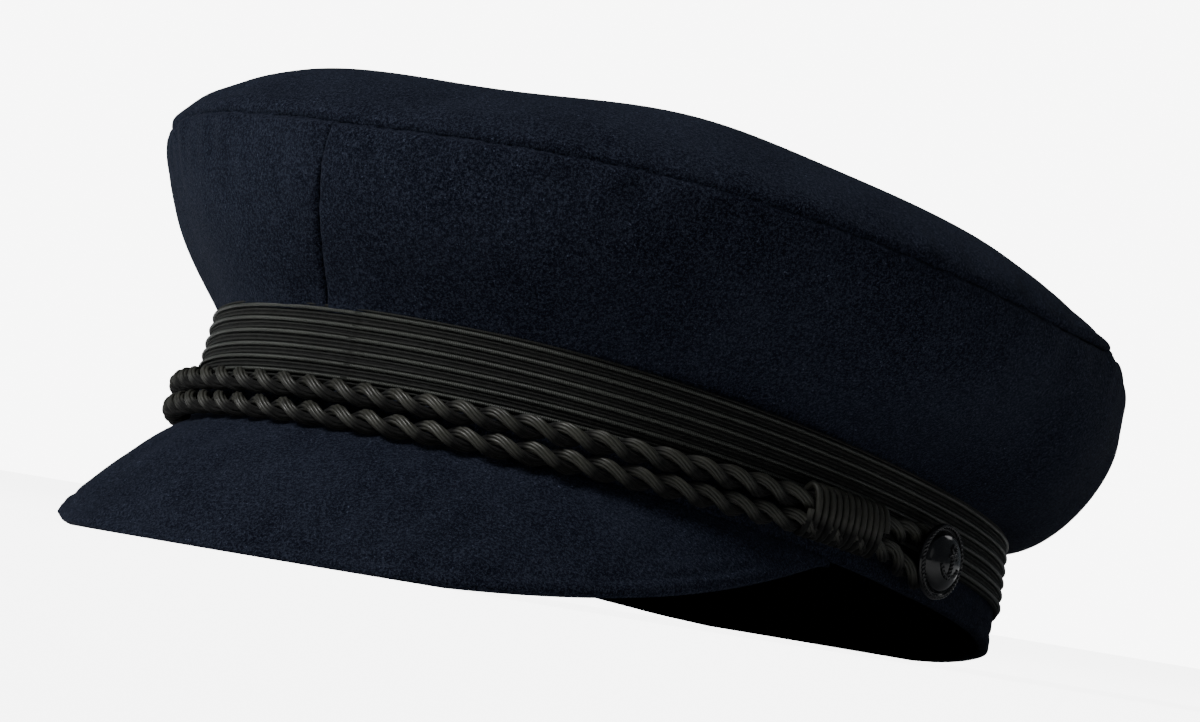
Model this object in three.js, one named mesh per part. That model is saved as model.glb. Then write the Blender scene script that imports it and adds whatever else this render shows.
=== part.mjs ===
// Sailor cap: a peaked cap of navy wool cloth, standing on a surface on its peak and the
// back of its head band. Millimetres, +Z up, the peak points to -Y, the wearer's left is +X.
//
// The cap is drawn level, with the rim of the head opening at height 0, and every point is
// then settled: tipped back until peak and band both touch, and pressed flat where the soft
// cloth meets the surface. The origin is the middle of the footprint, on the surface.
//
// Angles run round the cap in degrees: 0 at the peak, 90 at the wearer's left, 180 at the back.

import * as THREE from 'three';
import { mergeVertices } from 'three/addons/utils/BufferGeometryUtils.js';

// ---------- driving dimensions ----------

const GAP = 0.3;                     // air left between neighbouring pieces
const REST_TILT = 8.7;               // how far the resting cap tips back, degrees
const PRESS = 0.8;                   // how much of the soft edge the surface flattens

const HEAD = { halfWidth: 79.6, halfDepth: 97.8, roundness: 2.2, centre: 0 };
const BAND = { height: 24.8, thickness: 2.4, narrowing: -2.5, lengthening: -0.5, shift: -1.7 };
const RIBBON = { bottom: 8.2, top: 24.4, thickness: 1.0 };

const CLOTH = 1.8;                   // thickness of the wool cloth walls
const TOP_SEAM = { halfWidth: 103.8, halfDepth: 109.2, roundness: 1.9, centre: -9.2 };
const WALL_FOOT = 26.2;              // height at which the crown wall leaves the band
const FRONT_SEAM = -4;               // where the front seam of the wall stands, degrees
const BACK_SEAM = 180;

// Section of the crown wall at stations round the cap, the same on both sides.
// seam: height of the top seam. footOut, footUp: the handle with which the wall leaves the
// band. bellyOut, bellyDown: the handle with which it reaches the seam. dome: rise of the top.
const SECTIONS = [
  { at: 0, seam: 58.5, footOut: 7, footUp: 6, bellyOut: 2, bellyDown: 9, dome: 18 },
  { at: 45, seam: 61, footOut: 8, footUp: 6, bellyOut: 2.5, bellyDown: 9, dome: 19.5 },
  { at: 90, seam: 59.8, footOut: 10, footUp: 4, bellyOut: 6, bellyDown: 11, dome: 15.5 },
  { at: 130, seam: 65, footOut: 10, footUp: -6, bellyOut: 17, bellyDown: 17, dome: 10.5 },
  { at: 180, seam: 68, footOut: 12, footUp: -7, bellyOut: 17, bellyDown: 20, dome: 8.5 },
];
const TOP = { middle: 64, rise: 20, flatness: 4, edge: 0.75 };

const PEAK = {
  reach: 76.6,                       // half of the arc that it is sewn along, degrees
  length: 46.9,                      // from the band to its edge, at the front
  taper: 1.19,                       // how its length dies away to the sides
  droop: 46,                       // slope of the middle below the rim plane, degrees
  sideDroop: 6,                     // steeper by this much at the sides
  joint: 0.3,                        // height at which its upper face meets the band
  arch: 2.5,                         // how far its upper face rises above a straight slope
  thickness: 2.5,
  endThickness: 0.4,                 // share of it left at the two ends
};

const CORD = { radius: 2.2, spacing: 5.2, height: 8.6, dip: 4.9, standOff: 3.8 };
const KNOT = { at: 74.4, halfArc: 6, halfHeight: 6, halfThickness: 3.45, standOff: 5.1, swell: 0.06, squeeze: 0.25, slack: 0.8 };
const BUTTON = { at: 90, drop: 0.8, radius: 8, shank: 1.2, spread: 1.9, back: 6.7, rim: 1.3, dome: 3.4 };

const COLOUR = { wool: 0x11141f, ribbon: 0x1b1c1c, cord: 0x161716, button: 0x08090b };

// ---------- plan and section helpers ----------

const radians = (degrees) => degrees * Math.PI / 180;
const mix = (a, b, t) => a + (b - a) * t;
const smooth = (t) => t * t * (3 - 2 * t);
const clamp = (t) => Math.min(1, Math.max(0, t));
const plateau = (x, flat, reach) => smooth(clamp((reach - Math.abs(x)) / (reach - flat)));

// Rounded oval through the front, sides and back; roundness 2 is an ellipse.
function oval(shape, angle, grow = 0) {
  const across = Math.sin(radians(angle));
  const along = -Math.cos(radians(angle));
  const power = 2 / shape.roundness;
  const x = (shape.halfWidth + grow) * Math.sign(across) * Math.abs(across) ** power;
  const y = (shape.halfDepth + grow) * Math.sign(along) * Math.abs(along) ** power;
  return new THREE.Vector3(x, y + shape.centre, 0);
}

// A point on the head band's outer face, or standing off it, at a height above the rim.
function onBand(angle, height, standOff = 0) {
  const t = height / BAND.height;
  const ring = {
    halfWidth: HEAD.halfWidth + BAND.narrowing * t,
    halfDepth: HEAD.halfDepth + BAND.lengthening * t,
    roundness: HEAD.roundness,
    centre: BAND.shift * t,
  };
  const point = oval(ring, angle, standOff);
  point.z = height;
  return point;
}

function outward(angle) {
  const point = oval(HEAD, angle);
  const x = point.x / HEAD.halfWidth ** 2;
  const y = point.y / HEAD.halfDepth ** 2;
  return new THREE.Vector3(x, y, 0).normalize();
}

// One column of SECTIONS at any angle, eased from station to station.
function section(angle, column) {
  const turn = ((angle % 360) + 360) % 360;
  const side = turn > 180 ? 360 - turn : turn;
  const next = Math.max(1, SECTIONS.findIndex((row) => row.at >= side));
  const from = SECTIONS[next - 1];
  const to = SECTIONS[next];
  return mix(from[column], to[column], smooth((side - from.at) / (to.at - from.at)));
}

// Tip a level point back onto the surface and press it flat there.
const SURFACE = restingHeight();
function settle(point) {
  const tilt = radians(REST_TILT);
  const y = point.y * Math.cos(tilt) + point.z * Math.sin(tilt);
  const z = point.z * Math.cos(tilt) - point.y * Math.sin(tilt);
  return new THREE.Vector3(point.x, y, Math.max(0, z - SURFACE));
}

function restingHeight() {
  const tilt = radians(REST_TILT);
  const heel = onBand(BACK_SEAM, 0);
  return heel.z * Math.cos(tilt) - heel.y * Math.sin(tilt) + PRESS;
}

// ---------- closed meshes ----------

// A wall between an outer and an inner surface, each a function of column and row. It is
// closed along its first and last row and, unless it runs right round, its end columns.
function wall(columns, rows, outer, inner, round = false) {
  const points = [];
  for (const surface of [outer, inner]) {
    for (let row = 0; row <= rows; row += 1) {
      for (let column = 0; column < columns + (round ? 0 : 1); column += 1) {
        points.push(surface(column / columns, row / rows));
      }
    }
  }
  const width = columns + (round ? 0 : 1);
  const layer = width * (rows + 1);
  const at = (face, column, row) => face * layer + row * width + (column % width);
  const faces = [];
  const quad = (a, b, c, d) => faces.push([a, b, c], [a, c, d]);
  for (let column = 0; column < columns; column += 1) {
    for (let row = 0; row < rows; row += 1) {
      quad(at(0, column, row), at(0, column + 1, row), at(0, column + 1, row + 1), at(0, column, row + 1));
      quad(at(1, column, row), at(1, column, row + 1), at(1, column + 1, row + 1), at(1, column + 1, row));
    }
    quad(at(1, column, 0), at(1, column + 1, 0), at(0, column + 1, 0), at(0, column, 0));
    quad(at(0, column, rows), at(0, column + 1, rows), at(1, column + 1, rows), at(1, column, rows));
  }
  if (!round) {
    for (let row = 0; row < rows; row += 1) {
      quad(at(0, 0, row), at(0, 0, row + 1), at(1, 0, row + 1), at(1, 0, row));
      quad(at(1, columns, row), at(1, columns, row + 1), at(0, columns, row + 1), at(0, columns, row));
    }
  }
  return closedGeometry(points, faces);
}

// Merge the points that meet, drop the faces that vanish and turn the rest outwards.
function closedGeometry(points, faces) {
  const loose = new THREE.BufferGeometry();
  loose.setAttribute('position', new THREE.Float32BufferAttribute(points.flatMap((p) => [p.x, p.y, p.z]), 3));
  loose.setIndex(faces.flat());
  const merged = mergeVertices(loose, 1e-4);
  const index = merged.getIndex().array;
  const kept = [];
  for (let i = 0; i < index.length; i += 3) {
    const [a, b, c] = [index[i], index[i + 1], index[i + 2]];
    if (a !== b && b !== c && c !== a) kept.push([a, b, c]);
  }
  const corner = (i) => new THREE.Vector3().fromBufferAttribute(merged.getAttribute('position'), i);
  const volume = kept.reduce((sum, [a, b, c]) => sum + corner(a).dot(corner(b).cross(corner(c))), 0);
  merged.setIndex(volume < 0 ? kept.flatMap(([a, b, c]) => [a, c, b]) : kept.flat());
  merged.computeVertexNormals();
  return merged;
}

// ---------- the cloth crown ----------

// The top seam, on the outer face or at the mitred corner inside the cloth.
function topSeam(angle, inset = 0) {
  const point = oval(TOP_SEAM, angle, -inset);
  point.z = section(angle, 'seam') - inset * 0.4;
  return point;
}

function wallPoint(angle, t) {
  const foot = onBand(angle, WALL_FOOT, 0.6);
  const seam = topSeam(angle);
  const out = outward(angle);
  const lower = foot.clone().addScaledVector(out, section(angle, 'footOut'));
  lower.z += section(angle, 'footUp');
  const upper = seam.clone().addScaledVector(out, section(angle, 'bellyOut'));
  upper.z -= section(angle, 'bellyDown');
  return new THREE.CubicBezierCurve3(foot, lower, upper, seam).getPoint(t);
}

// The lining side of the wall: square to the outer face, then mitred into the top seam.
function wallLining(angle, t) {
  const step = 0.01;
  const here = wallPoint(angle, t);
  const up = wallPoint(angle, Math.min(1, t + step)).sub(wallPoint(angle, Math.max(0, t - step)));
  const round = wallPoint(angle + step, t).sub(wallPoint(angle - step, t));
  const inward = up.cross(round).normalize();
  const square = here.clone().addScaledVector(inward, CLOTH);
  const mitre = smooth(Math.max(0, (t - 0.8) / 0.2));
  return square.lerp(topSeam(angle, CLOTH).add(here).sub(topSeam(angle)), mitre);
}

function crownSide(fromAngle, toAngle) {
  const clear = 0.14;
  const angleAt = (u) => mix(fromAngle + clear, toAngle - clear, u);
  const upTo = 0.995;
  return wall(
    40, 9,
    (u, v) => settle(wallPoint(angleAt(u), v * upTo)),
    (u, v) => settle(wallLining(angleAt(u), v * upTo)),
  );
}

function topPoint(angle, spread, inset = 0) {
  const edge = topSeam(angle, inset);
  const centre = new THREE.Vector3(0, TOP_SEAM.centre, TOP.middle - inset * 0.4);
  const point = centre.clone().lerp(edge, spread);
  const rise = section(angle, 'dome') - inset * 0.6;
  point.z = mix(centre.z, edge.z, spread * spread);
  point.z += mix(TOP.rise - inset * 0.6, rise, spread * spread) * (1 - spread ** TOP.flatness) ** TOP.edge;
  return point;
}

function crownTop() {
  const rim = 1 - GAP / TOP_SEAM.halfWidth;
  const spreadAt = (v) => rim * Math.sin(radians(90 * (1 - v)));
  return wall(
    64, 8,
    (u, v) => settle(topPoint(360 * u, spreadAt(v)).add(new THREE.Vector3(0, 0, GAP))),
    (u, v) => settle(topPoint(360 * u, spreadAt(v), CLOTH).add(new THREE.Vector3(0, 0, GAP))),
    true,
  );
}

// ---------- band, ribbon and peak ----------

function headBand() {
  return wall(
    72, 3,
    (u, v) => settle(onBand(360 * u, BAND.height * v)),
    (u, v) => settle(onBand(360 * u, BAND.height * v, -BAND.thickness)),
    true,
  );
}

function ribbon() {
  const height = (v) => mix(RIBBON.bottom, RIBBON.top, v);
  return wall(
    72, 2,
    (u, v) => settle(onBand(360 * u, height(v), GAP + RIBBON.thickness)),
    (u, v) => settle(onBand(360 * u, height(v), GAP)),
    true,
  );
}

// The under face is square to the upper one at the edge and plumb where it meets the band.
function peakPoint(across, out, under) {
  const angle = PEAK.reach * across;
  const away = outward(angle);
  const point = onBand(angle, 0, GAP);
  const length = PEAK.length * out * (1 - across * across) ** PEAK.taper;
  const slope = radians(PEAK.droop + PEAK.sideDroop * Math.abs(across) ** 1.5);
  const depth = under * PEAK.thickness * mix(PEAK.endThickness, 1, Math.sqrt(1 - across * across));
  point.addScaledVector(away, length * Math.cos(slope) - depth * Math.sin(slope) * out);
  point.z = PEAK.joint - length * Math.sin(slope) - depth * mix(1 / Math.cos(slope), Math.cos(slope), out);
  point.z += PEAK.arch * 4 * out * (1 - out) * (1 - across * across);
  return point;
}

function peak() {
  const end = 0.97;
  const across = (u) => mix(-end, end, u);
  return wall(
    40, 5,
    (u, v) => settle(peakPoint(across(u), v, 0)),
    (u, v) => settle(peakPoint(across(u), v, 1)),
  );
}

// ---------- cord, knots and buttons ----------

// Two rows of one looped cord: it dips towards the peak, closes up inside the knots and
// opens again round the shanks of the buttons.
function cordRow(angle, row) {
  const side = Math.abs(angle);
  const knotted = plateau(side - KNOT.at, KNOT.halfArc + 1, KNOT.halfArc + 6);
  const opened = plateau(side - BUTTON.at, 1, BUTTON.at - KNOT.at - KNOT.halfArc - 2);
  const half = CORD.spacing / 2 - KNOT.squeeze * knotted + BUTTON.spread * opened;
  const height = cordHeight(angle) - BUTTON.drop * opened;
  return onBand(angle, height + half * row, mix(CORD.standOff, KNOT.standOff, knotted));
}

const SIDE_ARC = onBand(89, 0).distanceTo(onBand(90, 0));     // millimetres in one degree, at the side
const cordHeight = (angle) => CORD.height - CORD.dip * Math.cos(radians(angle));

function cordLoop() {
  const points = [];
  const rowSteps = 36;
  const turnSteps = 6;
  const turnRadius = CORD.spacing / 2 + BUTTON.spread;
  for (const side of [1, -1]) {
    for (let i = 0; i <= rowSteps; i += 1) {
      points.push(cordRow(side * mix(-BUTTON.at, BUTTON.at, i / rowSteps), side));
    }
    for (let i = 1; i < turnSteps; i += 1) {
      const turn = radians(180 * i / turnSteps);
      const along = turnRadius * Math.sin(turn) / SIDE_ARC;
      const angle = side * (BUTTON.at + along);
      const height = cordHeight(BUTTON.at) - BUTTON.drop + side * turnRadius * Math.cos(turn);
      points.push(onBand(angle, height, CORD.standOff));
    }
  }
  return points.map(settle);
}

// The tube takes one step from each point of its route to the next.
function cord() {
  const route = cordLoop();
  const curve = new THREE.CatmullRomCurve3(route, true, 'centripetal');
  curve.getPointAt = curve.getPoint;
  curve.getTangentAt = curve.getTangent;
  const tube = new THREE.TubeGeometry(curve, route.length, CORD.radius, 8, true);
  const position = tube.getAttribute('position');
  const points = Array.from({ length: position.count }, (_, i) => new THREE.Vector3().fromBufferAttribute(position, i));
  const index = Array.from(tube.getIndex().array);
  const faces = [];
  while (index.length) faces.push(index.splice(0, 3));
  return closedGeometry(points, faces);
}

// The wound knot is a flat barrel with the two rows of cord running through it.
function knot(side) {
  const hole = {
    halfHeight: CORD.spacing / 2 - KNOT.squeeze + CORD.radius + KNOT.slack,
    halfThickness: CORD.radius + KNOT.slack,
  };
  const ring = (u, v, halfHeight, halfThickness) => {
    const angle = side * (KNOT.at + KNOT.halfArc * (2 * v - 1));
    const turn = radians(360 * u);
    const up = Math.sign(Math.sin(turn)) * Math.abs(Math.sin(turn)) ** 0.8 * halfHeight;
    const out = Math.sign(Math.cos(turn)) * Math.abs(Math.cos(turn)) ** 0.8 * halfThickness;
    return settle(onBand(angle, cordHeight(angle) + up, KNOT.standOff + out));
  };
  const swell = (v) => 1 - KNOT.swell * (2 * v - 1) ** 2;
  return wall(
    20, 6,
    (u, v) => ring(u, v, KNOT.halfHeight * swell(v), KNOT.halfThickness),
    (u, v) => ring(u, v, hole.halfHeight, hole.halfThickness),
    true,
  );
}

function button() {
  const face = BUTTON.back + BUTTON.rim;
  const profile = [
    new THREE.Vector2(0, RIBBON.thickness + 2 * GAP),
    new THREE.Vector2(BUTTON.shank, RIBBON.thickness + 2 * GAP),
    new THREE.Vector2(BUTTON.shank, BUTTON.back),
    new THREE.Vector2(BUTTON.radius - 0.6, BUTTON.back),
    new THREE.Vector2(BUTTON.radius, BUTTON.back + 0.5),
    new THREE.Vector2(BUTTON.radius - 0.5, face),
  ];
  const domeSteps = 5;
  for (let i = 0; i <= domeSteps; i += 1) {
    const turn = radians(90 * i / domeSteps);
    const radius = (BUTTON.radius - 1.4) * Math.cos(turn);
    profile.push(new THREE.Vector2(i === domeSteps ? 0 : radius, face - 0.3 + BUTTON.dome * Math.sin(turn)));
  }
  return new THREE.LatheGeometry(profile, 24);
}

function placeButton(mesh, side) {
  const seat = onBand(side * BUTTON.at, cordHeight(BUTTON.at) - BUTTON.drop);
  const out = outward(side * BUTTON.at);
  const foot = settle(seat);
  const direction = settle(seat.clone().add(out)).sub(foot).normalize();
  mesh.position.copy(foot);
  mesh.quaternion.setFromUnitVectors(new THREE.Vector3(0, 1, 0), direction);
}

// ---------- the assembly ----------

const material = (color, roughness, metalness = 0) => new THREE.MeshStandardMaterial({ color, roughness, metalness });

const cap = new THREE.Group();

function add(name, geometry, finish) {
  const mesh = new THREE.Mesh(geometry, finish);
  mesh.name = name;
  cap.add(mesh);
  return mesh;
}

const wool = () => material(COLOUR.wool, 0.95);
add('crown_top', crownTop(), wool());
add('crown_side_left', crownSide(FRONT_SEAM, BACK_SEAM), wool());
add('crown_side_right', crownSide(BACK_SEAM, 360 + FRONT_SEAM), wool());
add('head_band', headBand(), wool());
add('ribbon', ribbon(), material(COLOUR.ribbon, 0.7));
add('peak', peak(), wool());
add('cord', cord(), material(COLOUR.cord, 0.6));
for (const [name, side] of [['left', 1], ['right', -1]]) {
  add(`knot_${name}`, knot(side), material(COLOUR.cord, 0.6));
  placeButton(add(`button_${name}`, button(), material(COLOUR.button, 0.25)), side);
}

const size = new THREE.Box3().setFromObject(cap, true);
cap.position.set(0, -(size.min.y + size.max.y) / 2, 0);

export default cap;
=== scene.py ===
"""Sailor cap: the looks of every piece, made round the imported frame."""

import math

import bpy
import numpy as np
from bpy.props import FloatProperty, FloatVectorProperty, PointerProperty
from mathutils import Matrix, Vector


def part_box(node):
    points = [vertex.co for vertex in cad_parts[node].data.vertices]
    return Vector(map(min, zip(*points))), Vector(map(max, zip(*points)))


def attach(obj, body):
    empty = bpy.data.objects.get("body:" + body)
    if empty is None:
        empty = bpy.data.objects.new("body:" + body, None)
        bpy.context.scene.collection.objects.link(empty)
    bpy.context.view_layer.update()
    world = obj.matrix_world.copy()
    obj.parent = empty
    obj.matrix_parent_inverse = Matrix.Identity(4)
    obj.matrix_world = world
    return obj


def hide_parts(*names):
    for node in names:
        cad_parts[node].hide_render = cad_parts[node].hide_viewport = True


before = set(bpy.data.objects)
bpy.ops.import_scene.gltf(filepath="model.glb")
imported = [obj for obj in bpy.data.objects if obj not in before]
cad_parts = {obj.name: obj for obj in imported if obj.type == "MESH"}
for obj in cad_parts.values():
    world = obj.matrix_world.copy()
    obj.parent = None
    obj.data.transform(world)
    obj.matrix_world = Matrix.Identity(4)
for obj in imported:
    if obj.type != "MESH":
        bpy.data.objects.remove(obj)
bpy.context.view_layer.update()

bl_info = {
    "name": "Sailor Cap",
    "version": (1, 0, 0),
    "blender": (4, 5, 0),
    "location": "View3D > Sidebar > Sailor Cap",
    "description": "Builds a peaked wool cap with a ribbed ribbon, twisted cord and side buttons",
    "category": "Add Mesh",
}

# ---------- driving dimensions, millimetres and degrees ----------
# Angles run round the cap: 0 at the peak, 90 at the wearer's left, 180 at the back.

MM = 0.001
REST_TILT = 8.7
PRESS = 0.8
HEAD = {"half_width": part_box("head_band")[1][0] / MM, "half_depth": 97.8, "roundness": 2.2, "centre": 0.0}
BAND = {"height": 24.8, "narrowing": -2.5, "lengthening": -0.5, "shift": -1.7, "thickness": 2.4}
RIBBON = {"bottom": 8.2, "top": 24.8, "skin": 0.5}
RIBS = {"count": 18, "selvedge": 0.8, "pitch": 0.9, "radius": 0.42, "fine": 0.6, "proud": 0.3}
TOP_SEAM = {"half_width": 103.8, "half_depth": 109.2, "roundness": 1.9, "centre": -9.2}
FRONT_SEAM = -4.0
BACK_SEAM = 180.0
CLOTH = 1.8

EDGE_SEAM = 4.2

# Stations round the cap. Columns: angle, seam height, foot out, foot up, belly out,
# belly down, rise of the top.
STATION = ("at", "seam", "foot_out", "foot_up", "belly_out", "belly_down", "dome")
STATIONS = np.array([
    (0, 58.5, 7.0, 6.0, 2.0, 9.0, 16.5),
    (45, 61.0, 5.5, 5.5, -1.5, 9.0, 18.0),
    (90, 59.8, 8.5, 3.0, 4.0, 11.0, 16.0),
    (130, 65.0, 8.5, -11.0, 12.0, 9.5, 5.5),
    (180, 68.0, 10.0, -11.0, 13.0, 12.0, 7.0),
], dtype=float)
TOP = {"middle": 64.0, "rise": 20.5, "flatness": 4.0, "edge": 0.62}
PEAK = {
    "reach": 76.6, "length": 46.9, "taper": 1.19, "droop": 46.0, "side_droop": 6.0,
    "joint": 0.3, "arch": 2.5, "thickness": 2.6,
}
CORD = {"spacing": 5.2, "height": 8.6, "dip": 4.9, "stand_off": 3.9}
KNOT = {"at": 74.4, "half_arc": 6.0, "stand_off": 4.8, "squeeze": 0.25, "wound": 6.2, "forward": 0.7}
BUTTON = {"at": 90.0, "drop": 0.8, "spread": 1.9, "back": 6.4, "radius": 8.0}


# ---------- plan and section helpers, all on numpy arrays ----------

def ease(t):
    t = np.clip(t, 0.0, 1.0)
    return t * t * (3.0 - 2.0 * t)


def plateau(x, flat, reach):
    return ease((reach - np.abs(x)) / (reach - flat))


def oval(shape, angle, grow=0.0):
    """A rounded oval through the front, sides and back."""
    across = np.sin(np.radians(angle))
    along = -np.cos(np.radians(angle))
    power = 2.0 / shape["roundness"]
    x = (shape["half_width"] + grow) * np.sign(across) * np.abs(across) ** power
    y = (shape["half_depth"] + grow) * np.sign(along) * np.abs(along) ** power
    return x, y + shape["centre"]


def on_band(angle, height, stand_off=0.0):
    """Points on the outer face of the head band, or standing off it."""
    angle, height, stand_off = np.broadcast_arrays(
        np.asarray(angle, float), np.asarray(height, float), np.asarray(stand_off, float))
    t = height / BAND["height"]
    ring = {
        "half_width": HEAD["half_width"] + BAND["narrowing"] * t,
        "half_depth": HEAD["half_depth"] + BAND["lengthening"] * t,
        "roundness": HEAD["roundness"],
        "centre": BAND["shift"] * t,
    }
    x, y = oval(ring, angle, stand_off)
    return np.stack([x, y, height], -1)


def outward(angle):
    x, y = oval(HEAD, angle)
    out = np.stack([x / HEAD["half_width"] ** 2, y / HEAD["half_depth"] ** 2, 0.0 * x], -1)
    return out / np.linalg.norm(out, axis=-1, keepdims=True)


def section(angle, column):
    """One column of STATIONS, eased from station to station, the same on both sides."""
    turn = np.mod(angle, 360.0)
    side = np.where(turn > 180.0, 360.0 - turn, turn)
    stops = STATIONS[:, 0]
    values = STATIONS[:, STATION.index(column)]
    low = np.clip(np.searchsorted(stops, side, side="right") - 1, 0, len(stops) - 2)
    t = ease((side - stops[low]) / (stops[low + 1] - stops[low]))
    return values[low] + (values[low + 1] - values[low]) * t


def lift(height):
    """An upward vector for each height."""
    return np.stack([0.0 * height, 0.0 * height, height], -1)


def waves(points, length, seed, count=10):
    """A soft random field of about unit size whose waves have that length."""
    rng = np.random.default_rng(seed)
    total = np.zeros(points.shape[:-1])
    for _ in range(count):
        heading = rng.normal(size=3)
        heading *= 2.0 * math.pi / (length * np.linalg.norm(heading)) * rng.uniform(0.7, 1.4)
        total += np.sin(points @ heading + rng.uniform(0.0, 2.0 * math.pi))
    return total / math.sqrt(count / 2.0)


TILT = math.radians(REST_TILT)
SURFACE = PRESS - HEAD["half_depth"] * math.sin(TILT)


def tip_back(points):
    y = points[..., 1] * math.cos(TILT) + points[..., 2] * math.sin(TILT)
    z = points[..., 2] * math.cos(TILT) - points[..., 1] * math.sin(TILT) - SURFACE
    return np.stack([points[..., 0], y, z], -1)


def settle(points):
    """From the level cap to the resting one, pressed flat on the surface, in metres."""
    moved = tip_back(points)
    moved[..., 1] += SHIFT
    moved[..., 2] = np.maximum(moved[..., 2], 0.05)
    return moved * MM


# ---------- meshes ----------

def mesh_object(name, points, faces, smooth=True, material=None):
    mesh = bpy.data.meshes.new(name)
    mesh.from_pydata(points.reshape(-1, 3).tolist(), [], faces)
    mesh.validate()
    if smooth:
        mesh.shade_smooth()
    if material:
        mesh.materials.append(material)
    made = bpy.data.objects.new(name, mesh)
    bpy.context.scene.collection.objects.link(made)
    return made


def grid_faces(rows, columns, round_columns=False, start=0, flip=False):
    across = columns if round_columns else columns - 1
    row, column = np.meshgrid(np.arange(rows - 1), np.arange(across), indexing="ij")
    after = (column + 1) % columns
    quads = np.stack([
        start + row * columns + column, start + row * columns + after,
        start + (row + 1) * columns + after, start + (row + 1) * columns + column,
    ], -1).reshape(-1, 4)
    return (quads[:, ::-1] if flip else quads).tolist()


def normals(points):
    """Unit normals of a grid of points, rows by columns."""
    up = np.gradient(points, axis=0)
    along = np.gradient(points, axis=1)
    normal = np.cross(along, up)
    return normal / np.maximum(np.linalg.norm(normal, axis=-1, keepdims=True), 1e-9)


def shell(name, outer, inner, round_columns, material):
    """A closed wall between two grids with the same rows and columns."""
    rows, columns = outer.shape[:2]
    points = np.concatenate([outer.reshape(-1, 3), inner.reshape(-1, 3)])
    size = rows * columns
    faces = grid_faces(rows, columns, round_columns)
    faces += grid_faces(rows, columns, round_columns, size, flip=True)
    across = columns if round_columns else columns - 1
    for column in range(across):
        after = (column + 1) % columns
        low, high = 0, (rows - 1) * columns
        faces.append([size + low + column, size + low + after, low + after, low + column])
        faces.append([high + column, high + after, size + high + after, size + high + column])
    if not round_columns:
        last = columns - 1
        for row in range(rows - 1):
            a, b = row * columns, (row + 1) * columns
            faces.append([a, b, size + b, size + a])
            faces.append([size + a + last, size + b + last, b + last, a + last])
    return mesh_object(name, points, faces, material=material)


def finish_piece(piece, slot, *nodes):
    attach(piece, "root")
    if nodes:
        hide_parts(*nodes)


# ---------- node trees ----------

class Value:
    """A node's output socket. Arithmetic on it adds Math nodes."""

    def __init__(self, nodes, socket):
        self.nodes = nodes
        self.socket = socket

    def other(self, name):
        return Value(self.nodes, self.socket.node.outputs[name])

    def maths(self, operation, first, second):
        return self.nodes.node("ShaderNodeMath", {"operation": operation}, {0: first, 1: second})

    def __add__(self, value):
        return self.maths("ADD", self, value)

    __radd__ = __add__

    def __sub__(self, value):
        return self.maths("SUBTRACT", self, value)

    def __rsub__(self, value):
        return self.maths("SUBTRACT", value, self)

    def __mul__(self, value):
        return self.maths("MULTIPLY", self, value)

    __rmul__ = __mul__

    def __truediv__(self, value):
        return self.maths("DIVIDE", self, value)

    def __pow__(self, value):
        return self.maths("POWER", self, value)

    def sin(self):
        return self.maths("SINE", self, 0.0)

    def cos(self):
        return self.maths("COSINE", self, 0.0)


class Nodes:
    """Makes nodes in one tree."""

    def __init__(self, tree):
        self.tree = tree
        tree.nodes.clear()

    def node(self, kind, settings=None, inputs=None, output=0):
        made = self.tree.nodes.new(kind)
        for key, value in (settings or {}).items():
            if key == "stops":
                self.set_stops(made.color_ramp, value)
            else:
                setattr(made, key, value)
        for key, value in (inputs or {}).items():
            if isinstance(value, Value):
                self.tree.links.new(value.socket, made.inputs[key])
            else:
                made.inputs[key].default_value = value
        outputs = [socket for socket in made.outputs if socket.enabled]
        return Value(self, outputs[output]) if outputs else Value(self, made.inputs[0])

    def set_stops(self, ramp, stops):
        while len(ramp.elements) < len(stops):
            ramp.elements.new(0.5)
        for element, (place, grey) in zip(ramp.elements, stops):
            element.position = place
            element.color = (grey, grey, grey, 1.0)


def new_material(name):
    material = bpy.data.materials.new(name)
    material.use_nodes = True
    return material, Nodes(material.node_tree)


def finish_material(material, nodes, settings):
    shader = nodes.node("ShaderNodeBsdfPrincipled", {}, settings)
    nodes.node("ShaderNodeOutputMaterial", {}, {"Surface": shader})
    return material


def noise(nodes, vector, scale, detail=3.0, roughness=0.6):
    inputs = {"Vector": vector, "Scale": scale, "Detail": detail, "Roughness": roughness}
    return nodes.node("ShaderNodeTexNoise", {}, inputs)


def ramp(nodes, value, *stops):
    return nodes.node("ShaderNodeValToRGB", {"stops": stops}, {"Fac": value})


def blend_colour(nodes, mask, first, second):
    settings = {"data_type": "RGBA"}
    return nodes.node("ShaderNodeMix", settings, {"Factor": mask, 6: first, 7: second})


def bump(nodes, height, distance, strength=1.0, below=None):
    inputs = {"Height": height, "Distance": distance, "Strength": strength}
    if below:
        inputs["Normal"] = below
    return nodes.node("ShaderNodeBump", {}, inputs)


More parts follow.
